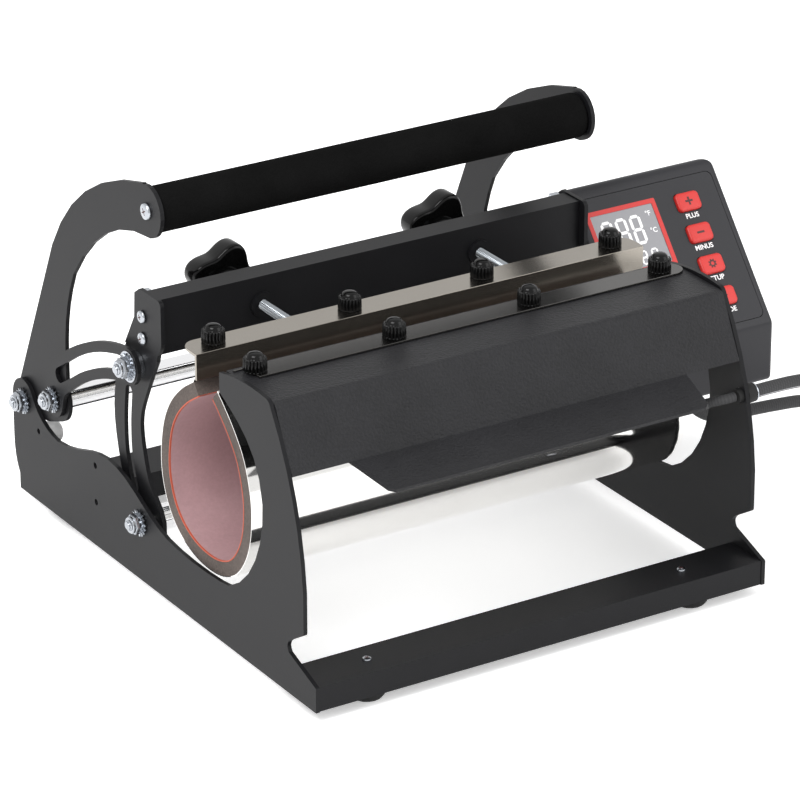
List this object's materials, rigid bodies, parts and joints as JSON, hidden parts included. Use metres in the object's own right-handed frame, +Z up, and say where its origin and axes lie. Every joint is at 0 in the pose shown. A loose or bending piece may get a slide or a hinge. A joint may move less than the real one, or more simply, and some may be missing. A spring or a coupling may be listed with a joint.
{
  "type": "mug heat press",
  "caption": "Bench heat press for mugs and tumblers: egg-shaped heating mat closed by an over-centre handle, with a control box.",
  "frame": {"origin": "middle of the footprint on the surface that the feet stand on", "axes": "+X from the plain side plate to the control box, +Y from the front cover to the handle pivot, +Z up"},
  "size_m": [0.6285, 0.423, 0.3036],
  "materials": {
    "powder": "matte powder coat",
    "chrome": "polished",
    "zinc": "zinc plated",
    "stainless": "bright rolled sheet",
    "plastic": "fine texture",
    "foam": "matte foam",
    "rubber": "matte",
    "sponge": "open sponge",
    "silicone": "satin",
    "red": "satin",
    "glass": "gloss",
    "board": "satin",
    "nylon": "satin",
    "sleeve": "braided"
  },
  "bodies": {
    "base": {"side_plate_left": "powder", "side_plate_right": "powder", "front_crossbar": "powder", "rear_crossbar": "powder", "foot_front_left": "rubber", "foot_front_right": "rubber", "foot_rear_left": "rubber", "foot_rear_right": "rubber", "front_cover": "powder", "handle_pivot_bolt_left": "zinc", "handle_pivot_bolt_right": "zinc", "lower_shaft": "chrome", "lower_shaft_nut_left": "zinc", "lower_shaft_nut_right": "zinc", "stop_bumper_left": "nylon", "stop_bumper_right": "nylon", "mat_shell": "stainless", "mat_sponge": "sponge", "mat_heater": "silicone", "front_cap_1": "plastic", "front_cap_2": "plastic", "front_cap_3": "plastic", "front_cap_4": "plastic", "control_bracket": "powder", "control_shell": "plastic", "control_panel": "plastic", "display": "glass", "control_board": "board", "power_inlet": "plastic", "lead_gland": "rubber", "box_gland": "rubber", "heater_tail": "sleeve", "mat_lead": "sleeve"},
    "handle": {"handle_arm_left": "powder", "handle_arm_right": "powder", "grip_core": "zinc", "foam_grip": "foam", "crank_shaft": "chrome", "crank_nut_left": "zinc", "crank_nut_right": "zinc"},
    "links": {"link_left": "powder", "link_right": "powder"},
    "swing_frame": {"swing_arm_left": "powder", "swing_arm_right": "powder", "top_bar": "powder", "bar_end_block_left": "zinc", "bar_end_block_right": "zinc", "link_bolt_left": "zinc", "link_bolt_right": "zinc"},
    "press_strip": {"press_strip": "stainless", "rear_cap_1": "plastic", "rear_cap_2": "plastic", "rear_cap_3": "plastic", "rear_cap_4": "plastic"},
    "screw_left": {"pressure_screw_left": "zinc"},
    "screw_right": {"pressure_screw_right": "zinc"},
    "plus_button": {"plus_button": "red"},
    "minus_button": {"minus_button": "red"},
    "setup_button": {"setup_button": "red"},
    "mode_button": {"mode_button": "red"}
  },
  "joints": [
    {"name": "handle_pivot", "type": "hinge", "parent": "base", "child": "handle", "pos_m": [-0.06, 0.1945, 0.08], "axis": [-1, 0, 0], "range_deg": [0, 70]},
    {"name": "link_pivot", "type": "hinge", "parent": "handle", "child": "links", "pos_m": [-0.06, 0.1495, 0.098], "axis": [-1, 0, 0], "range_deg": [-88.5, 0]},
    {"name": "swing_pivot", "type": "hinge", "parent": "base", "child": "swing_frame", "pos_m": [-0.06, 0.0265, 0.052], "axis": [-1, 0, 0], "range_deg": [0, 16.6], "deforming": ["mat_shell"]},
    {"name": "press_slide", "type": "slide", "parent": "swing_frame", "child": "press_strip", "axis": [0, -1, 0], "range_m": [-0.01, 0.005], "deforming": ["mat_shell"]},
    {"name": "screw_left_turn", "type": "hinge", "parent": "press_strip", "child": "screw_left", "pos_m": [-0.15, 0.0645, 0.1995], "axis": [0, 1, 0], "range_deg": [-2880, 1440]},
    {"name": "screw_right_turn", "type": "hinge", "parent": "press_strip", "child": "screw_right", "pos_m": [0.025, 0.0645, 0.1995], "axis": [0, 1, 0], "range_deg": [-2880, 1440]},
    {"name": "plus_press", "type": "slide", "parent": "base", "child": "plus_button", "axis": [0, 0.7724, -0.6351], "range_m": [0, 0.0015], "stiffness_N_per_m": 300, "springref_m": -0.0015},
    {"name": "minus_press", "type": "slide", "parent": "base", "child": "minus_button", "axis": [0, 0.7724, -0.6351], "range_m": [0, 0.0015], "stiffness_N_per_m": 300, "springref_m": -0.0015},
    {"name": "setup_press", "type": "slide", "parent": "base", "child": "setup_button", "axis": [0, 0.7724, -0.6351], "range_m": [0, 0.0015], "stiffness_N_per_m": 300, "springref_m": -0.0015},
    {"name": "mode_press", "type": "slide", "parent": "base", "child": "mode_button", "axis": [0, 0.7724, -0.6351], "range_m": [0, 0.0015], "stiffness_N_per_m": 300, "springref_m": -0.0015}
  ],
  "couplings": [
    {"joint": "link_pivot", "follows": "handle_pivot", "ratio": -1.2625},
    {"joint": "swing_pivot", "follows": "handle_pivot", "ratio": 0.23599},
    {"joint": "press_slide", "follows": "screw_left_turn", "m_per_rad": 0.00019894},
    {"joint": "screw_right_turn", "follows": "screw_left_turn", "ratio": 1}
  ]
}
